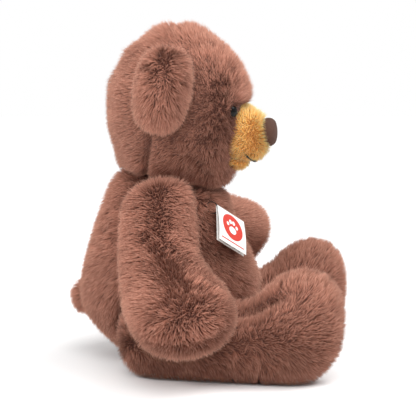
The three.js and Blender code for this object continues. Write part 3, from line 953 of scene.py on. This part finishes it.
# ---- ears
def make_ear(name, side):
    turn, centre = ear_place(side)
    points, faces = loft(EAR, 36)
    points = shrink(points, faces, EAR_INSET) @ turn.T + centre
    seam = (centre, np.array([0, math.cos(EAR_LEAN), math.sin(EAR_LEAN)]))
    skin = stuff(points, faces, 4, lambda p: on_seams(p, [seam]), cap=1.5)
    skin = draw_in(skin, [seam], 1.0)
    skin_object(
        f"{name}_ear_skin", skin, "head", [f"{name}_ear_back_panel", f"{name}_ear_front_panel"]
    )
    patch = Waves(61 + side, 16)

    def style(p, n):
        off = (p - centre) @ turn
        length = 8.6 * (1 - 0.2 * hump(off[:, 1], 2.5))
        length[off[:, 0] * side < -20] = 0
        comb = unit(off + [side * 6.0, 0, 0]) * 0.3 @ turn.T + [0, 0, -0.8]
        out = np.hypot(off[:, 1] / 20, off[:, 2] / 32)
        # painted light: the ear's locks are lifted, lighter towards the top and in the middle of each
        # face; painted shade darkens them towards the head
        tone = 0.0012 * (p[:, 2] - 225) + 0.24 + 0.05 * patch(p) + 0.12 * hump(out, 0.6)
        tone -= 0.25 * np.clip(-(off[:, 0] * side) / 20, 0, 1)
        return length, comb, 34.0, 0.6 + 0.2 * patch(p), tone

    fur(
        [f"{name}_ear_back_fur", f"{name}_ear_front_fur"],
        skin,
        "head",
        style,
        lambda p: (past(p, seam) < 0).astype(int),
        seed=24 + side,
    )


# ---- limbs
def limb_place(joint, side, raised):
    """The limb's own axes, as the columns of a matrix: across, back and up."""
    at, axis = joint
    across = axis * side
    back = unit(np.cross(Z, across))
    turn = np.stack([across, back, np.cross(across, back)], 1)
    a = -math.radians(raised)
    lift = np.array([[1, 0, 0], [0, math.cos(a), -math.sin(a)], [0, math.sin(a), math.cos(a)]])
    return at, turn @ lift


ARM = [
    (28, 6, -10, 0),
    (23, 18, -23, 14),
    (16, 28, -30, 20),
    (-2, 34, -32, 24),
    (-33, 36, -32, 26),
    (-51, 35, -38, 27),
    (-69, 33, -50, 28),
    (-87, 28, -60, 28),
    (-105, 20, -63, 27),
    (-119, 10, -59, 23),
    (-129, -4, -48, 15),
    (-135, -19, -29, 0),
]
ARM_OFFSET, ARM_LENGTH = 23, 119
# raised by, bent outwards by, stretched along, and bent forwards at the elbow
ARM_POSE = {RIGHT: (14, 38, 1.08, 1), LEFT: (41, 50, 0.92, 0)}


def bend_outwards(points, side, per_length):
    """Bends a hanging limb outwards along a circle, from the height of the joint down."""
    x, y, height = points.T
    radius = 1 / per_length - side * x
    turn = -height * per_length
    bent = np.stack(
        [side * (1 / per_length - radius * np.cos(turn)), y, -radius * np.sin(turn)], 1
    )
    return np.where(height[:, None] < 0, bent, points)


def straighten(points, side, per_length):
    """The place on the straight limb of each point of the bent one."""
    x, y, height = points.T
    radius = np.hypot(1 / per_length - side * x, height)
    turn = np.arctan2(-height, 1 / per_length - side * x)
    straight = np.stack([side * (1 / per_length - radius), y, -turn / per_length], 1)
    return np.where(height[:, None] < 0, straight, points)


def make_arm(name, side):
    raised, bend, stretch, elbow = ARM_POSE[side]
    bend = math.radians(bend)
    at, turn = limb_place(SHOULDER[side], side, raised)
    offset = np.array([side * ARM_OFFSET, 0, 0])
    stations = []
    for height, back, front, half in ARM:
        straighter = (1 - elbow) * (back + front) / 2
        stations.append((height * stretch, back - straighter, front - straighter, half))
    points, faces = loft(stations, 44)
    points = shrink(points, faces, LIMB_INSET)
    points = bend_outwards(points, side, bend / ARM_LENGTH) + offset
    points = press(points, np.zeros(3), -side * X, -FLAT - 1)
    points = points @ turn.T + at
    seam_axis = np.array([math.cos(bend / 2), 0, side * math.sin(bend / 2)])
    seam = (turn @ offset + at, turn @ seam_axis)
    points, faces = stuff(points, faces, 5, lambda p: on_seams(p, [seam]))
    points = press(points, at, -SHOULDER[side][1], -FLAT)
    skin = draw_in((points, faces), [seam], 0.3)
    skin_object(
        f"{name}_arm_skin",
        skin,
        f"{name}_arm",
        [f"{name}_arm_{kind}" for kind in ("outer_panel", "inner_panel", "stuffing")],
    )
    soft = Waves(31 + side, 45)
    line = np.array([(level, (back + front) / 2) for level, back, front, _ in stations])[::-1]
    paw = -85 * stretch

    def style(p, n):
        own = (p - at) @ turn
        straight = straighten(own - offset, side, bend / ARM_LENGTH)
        level = straight[:, 2]
        off = own[:, 1] - np.interp(np.clip(level, -100, 5), *line.T)
        length = np.full(len(p), 9.2)
        inner = on_joint(own, n, turn, side)
        length[inner] = WORN
        length[inner & (np.hypot(own[:, 1], own[:, 2]) < 16)] = 0
        around = np.clip(-level * bend / ARM_LENGTH, 0, 2)
        down = np.stack([side * np.sin(around), 0 * level, -np.cos(around)], 1)
        outer = np.stack([np.cos(around), 0 * level, side * np.sin(around)], 1)
        end = np.clip((paw + 14 - level) / 30, 0, 1)[:, None]
        comb = down * (1 + end * (np.maximum(paw - level, 0) / 20)[:, None])
        comb[:, 1] += off / 30 * (1 + 1.2 * end[:, 0])
        comb += end * straight[:, :1] * outer / 24
        # painted light: the arm's locks are lifted overall, and lighter still at the paw and down the
        # middle
        tone = 0.05 * soft(p) + 0.36 + 0.12 * end[:, 0]
        tousle = np.clip(0.22 + 0.1 * soft(p), 0.1, 1)
        # more upright down the middle and at the paw
        middle = hump(off, 15)
        lean = 37 - 11 * np.maximum(middle, end[:, 0])
        return length, comb @ turn.T, lean, tousle, tone + 0.07 * middle

    fur(
        [f"{name}_arm_outer_fur", f"{name}_arm_inner_fur"],
        skin,
        f"{name}_arm",
        style,
        lambda p: (past(p, seam) * side < 0).astype(int),
        seed=34 + side,
    )


LEG = [
    (-29, 8, -2, 0),
    (-27, 18, -14, 14),
    (-20, 27, -26, 23),
    (-6, 33, -36, 29),
    (15, 36, -39, 31),
    (40, 35, -39, 32),
    (64, 33, -39, 32),
    (80, 36, -39, 32),
    (94, 47, -39, 33),
    (109, 57.5, -38, 34),
    (126, 60, -33, 33),
    (141, 55, -22, 28),
    (151, 43, -8, 19),
    (155, 28, 12, 0),
]
LEG_OFFSET, SOLE_AT = 29, 140
LEG_SEAM_ROLL = math.radians(38)
HIP_HEIGHT = 31
# the fold over the ankle, along the outside of the leg: distance forwards and height
ANKLE_FOLD = [(44, 22), (64, 21), (82, 23), (99, 31), (118, 41)]


def crease(own, side, width):
    """How near each point is to the ankle fold, from 0 to 1."""
    path = curve_through([(0, *p) for p in ANKLE_FOLD])[:, 1:]
    spot = np.stack([-own[:, 1], own[:, 2]], 1)
    gap = np.linalg.norm(spot[:, None] - path[None], axis=2)
    near = gap.argmin(1) / (len(path) - 1)
    ends = np.clip(np.sin(np.clip(near, 0.02, 0.98) * math.pi) * 1.6, 0, 1)
    outside = own[:, 0] * side > LEG_OFFSET
    return hump(gap.min(1), width) * ends * outside


def make_leg(name, side):
    at, turn = limb_place(HIP[side], side, 0)
    points, faces = loft([(-d, -bottom, -top, half) for d, top, bottom, half in LEG], 44)
    points = shrink(points, faces, LIMB_INSET)
    points = np.stack([points[:, 0], points[:, 2], -points[:, 1]], 1) + [side * LEG_OFFSET, 0, 0]
    ground = np.array([0, 0, -HIP_HEIGHT])

    def press_leg(p, depth):
        p = press(p, np.zeros(3), -side * X, -FLAT - depth)
        return press(p, ground, -Z, -SKIN - depth)

    points = press_leg(points, 1)
    seam_at = np.array([side * LEG_OFFSET, 0, 10])
    seam_axis = np.array([side * math.cos(LEG_SEAM_ROLL), 0, -math.sin(LEG_SEAM_ROLL)])
    seam = (turn @ seam_at + at, turn @ seam_axis)
    sole = (turn @ np.array([0, -SOLE_AT, 0]) + at, turn @ Y)
    points = points @ turn.T + at
    points, faces = stuff(points, faces, 5, lambda p: on_seams(p, [seam, sole]))
    own = press_leg((points - at) @ turn, 0)
    points, faces = draw_in((own @ turn.T + at, faces), [seam, sole], 0.7)
    own = (points - at) @ turn
    fold, bulge = crease(own, side, 4.5), crease(own + [0, 0, 12], side, 8)
    normals = point_normals(points, triangles(faces))
    skin = (points + normals * (2.5 * bulge - 8.5 * fold)[:, None], faces)
    skin_object(
        f"{name}_leg_skin",
        skin,
        f"{name}_leg",
        [f"{name}_leg_{kind}" for kind in ("outer_panel", "inner_panel", "sole_panel", "stuffing")],
    )
    soft = Waves(41 + side, 45)

    def style(p, n):
        own = (p - at) @ turn
        forward = -own[:, 1]
        length = np.full(len(p), 9.0)
        away = np.hypot(own[:, 1], own[:, 2])
        inner = on_joint(own, n, turn, side) & (away < 60)
        length[inner] = 4.0
        length[inner & (away < 18)] = 0
        length[on_ground(p, n)] = WORN
        comb = np.stack([0 * forward, np.full(len(p), -1.0), (own[:, 2] + 8) / 16], 1)
        foot = np.clip((forward - 70) / 32, 0, 1)[:, None]
        comb += foot * np.stack([0 * forward, own[:, 1] + 92, own[:, 2] - 8], 1) / 14
        fold, beside = crease(own, side, 4.5), crease(own, side, 11)
        comb[:, 2] -= 1.2 * beside
        length *= 1 - 0.35 * fold
        # painted shade: the locks are darker overall, in the ankle fold and on the thigh's top under
        # the arm; painted light makes them lighter towards the top
        thigh_top = hump(forward - 60, 18) * rises(own[:, 2], 18, 3)
        tone = 0.06 * soft(p) + 0.0004 * (p[:, 2] - 50) - 0.18
        tone -= 0.40 * fold + 0.14 * thigh_top
        tousle = np.clip(0.42 + 0.12 * soft(p), 0.1, 1)
        return length, comb @ turn.T, 40.0, tousle, tone

    def label(p):
        return np.where(past(p, sole) < 0, 2, np.where(past(p, seam) > 0, 0, 1))

    fur(
        [f"{name}_leg_{kind}_fur" for kind in ("outer", "inner", "sole")],
        skin,
        f"{name}_leg",
        style,
        label,
        seed=44 + side,
    )


# ---- hang tag
TAG_SIZE, TAG_LIFT, LOOP = 33, 4, 5
TAG_TOP = unit(np.array([21, -20, -16]))
TAG_SIDE = unit(np.array([-22, -3, -24.5]))
TAG_FACE = unit(np.cross(TAG_SIDE, TAG_TOP))
TAG_SEWN_AT = np.array([-35.5, -34.5, 129.5])


def make_tag():
    across, down = TAG_TOP, -np.cross(TAG_FACE, TAG_TOP)
    corner = TAG_SEWN_AT + TAG_FACE * TAG_LIFT

    def on_tag(u, v, w):
        return corner + across * u + down * v + TAG_FACE * w

    # two leaves joined along the fold at the top edge, the front one bowed a little
    steps = 12

    def bow(v):
        return 1.45 + 1.1 * math.sin(math.pi * 0.9 * v / TAG_SIZE)

    profile = []
    for i in range(steps + 1):
        v = TAG_SIZE * (1 - i / steps)
        profile.append((v, 0.15 - 0.9 * (v / TAG_SIZE) ** 2))
    for i in range(5):
        a = math.pi * (i + 1) / 6
        profile.append((-0.55 * math.sin(a) + 0.1, 0.15 + 0.65 * (1 - math.cos(a))))
    for i in range(steps + 1):
        v = TAG_SIZE * i / steps
        profile.append((v, bow(v)))
    profile = np.array(profile)
    ahead = np.gradient(profile, axis=0)
    normal = unit(np.stack([-ahead[:, 1], ahead[:, 0]], 1)) * 0.14
    ring = np.vstack([profile + normal, (profile - normal)[::-1]])
    count = len(ring)
    widths = np.linspace(0, TAG_SIZE, 9)
    points = [on_tag(u, v, w) for u in widths for v, w in ring]
    faces = [tuple(range(count)), tuple(range((len(widths) - 1) * count, len(widths) * count))[::-1]]
    for i in range(len(widths) - 1):
        for j in range(count):
            k = (j + 1) % count
            a, b = i * count, (i + 1) * count
            faces.append((a + j, b + j, b + k, a + k))
    card = mesh_object("hang_tag_card", points, faces, CARD, smooth=False)
    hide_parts("hang_tag")
    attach(card, "tag")

    def front(u, v, lift):
        return on_tag(u, v, bow(v) + lift)

    def patch(outline, lift):
        """A thin filled shape on the front leaf."""
        middle = np.mean(outline, 0)
        n = len(outline)
        pts = [front(*middle, lift)]
        for scale in (0.35, 0.7, 1.0):
            ring = middle + (np.array(outline) - middle) * scale
            pts += [front(u, v, lift) for u, v in ring]
        f = [(0, 1 + j, 1 + (j + 1) % n) for j in range(n)]
        for i in range(2):
            a, b = 1 + i * n, 1 + (i + 1) * n
            f += [(a + j, b + j, b + (j + 1) % n, a + (j + 1) % n) for j in range(n)]
        low = len(pts)
        pts += [np.array(p) - TAG_FACE * 0.05 for p in pts]
        f += [tuple(low + i for i in face)[::-1] for face in f]
        rim = 1 + 2 * n
        f += [(rim + j, low + rim + j, low + rim + (j + 1) % n, rim + (j + 1) % n) for j in range(n)]
        return pts, f

    def join(shapes, name, material):
        pts, fs = [], []
        for p, f in shapes:
            fs += [tuple(i + len(pts) for i in face) for face in f]
            pts += list(p)
        obj = mesh_object(name, pts, fs, material, smooth=False)
        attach(obj, "tag")

    def round_shape(u, v, ru, rv, n=48):
        turns = [2 * math.pi * j / n for j in range(n)]
        return [(u + ru * math.cos(a), v + rv * math.sin(a)) for a in turns]

    seal = [patch(round_shape(17, 14.2, 12.2, 12.2, n=96), 0.16)]
    seal.append(patch([(3, 28.6), (30, 28.6), (30, 29.7), (3, 29.7)], 0.16))
    join(seal, "hang_tag_seal", RED_INK)
    paw = [round_shape(16.5, 17.6, 4.3, 3.5)]
    for du, dv, r in ((-5.4, 12.9, 1.5), (-1.9, 9.7, 1.7), (1.9, 9.7, 1.7), (5.4, 12.9, 1.5)):
        paw.append(round_shape(16.5 + du, dv, r, r * 1.25, n=24))
    join([patch(shape, 0.24) for shape in paw], "hang_tag_paw", CARD)

    inwards = TAG_TOP + TAG_SIDE
    inwards = unit(inwards - (inwards @ TAG_FACE) * TAG_FACE)
    ring_points = [
        TAG_SEWN_AT + (inwards * math.cos(a) + TAG_FACE * math.sin(a)) * LOOP
        for a in np.linspace(0, 2 * math.pi, 40, endpoint=False)
    ]
    loop = tube("tag_thread", ring_points, 0.42, THREAD, twist=0.15, closed=True)
    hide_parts("hang_tag_loop")
    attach(loop, "torso")


def dress_hidden_nodes():
    """Materials for the pieces that stay as the CAD part has them."""
    for name, obj in NODES.items():
        if obj.hide_render:
            continue
        if "stuffing" in name:
            material = STUFFING
        elif name.endswith("_washer") and "eye" not in name:
            material = HARDBOARD
        else:
            material = NYLON
        obj.data.materials.clear()
        obj.data.materials.append(material)


def make_floor():
    nodes = Nodes("studio_floor")
    white = {"Base Color": (1, 1, 1, 1), "Specular IOR Level": 0.0, "Roughness": 1.0}
    nodes.set(nodes.shader, white)
    mesh = bmesh.new()
    bmesh.ops.create_circle(mesh, cap_ends=True, segments=96, radius=4)
    data = bpy.data.meshes.new("floor")
    mesh.to_mesh(data)
    mesh.free()
    data.materials.append(nodes.material)
    floor = add_object("floor", data)


make_torso()
make_tail()
make_head()
make_muzzle()
make_nose()
make_eyes()
make_mouth()
for name, side in SIDES.items():
    make_ear(name, side)
    make_arm(name, side)
    make_leg(name, side)
make_tag()
dress_hidden_nodes()
make_floor()
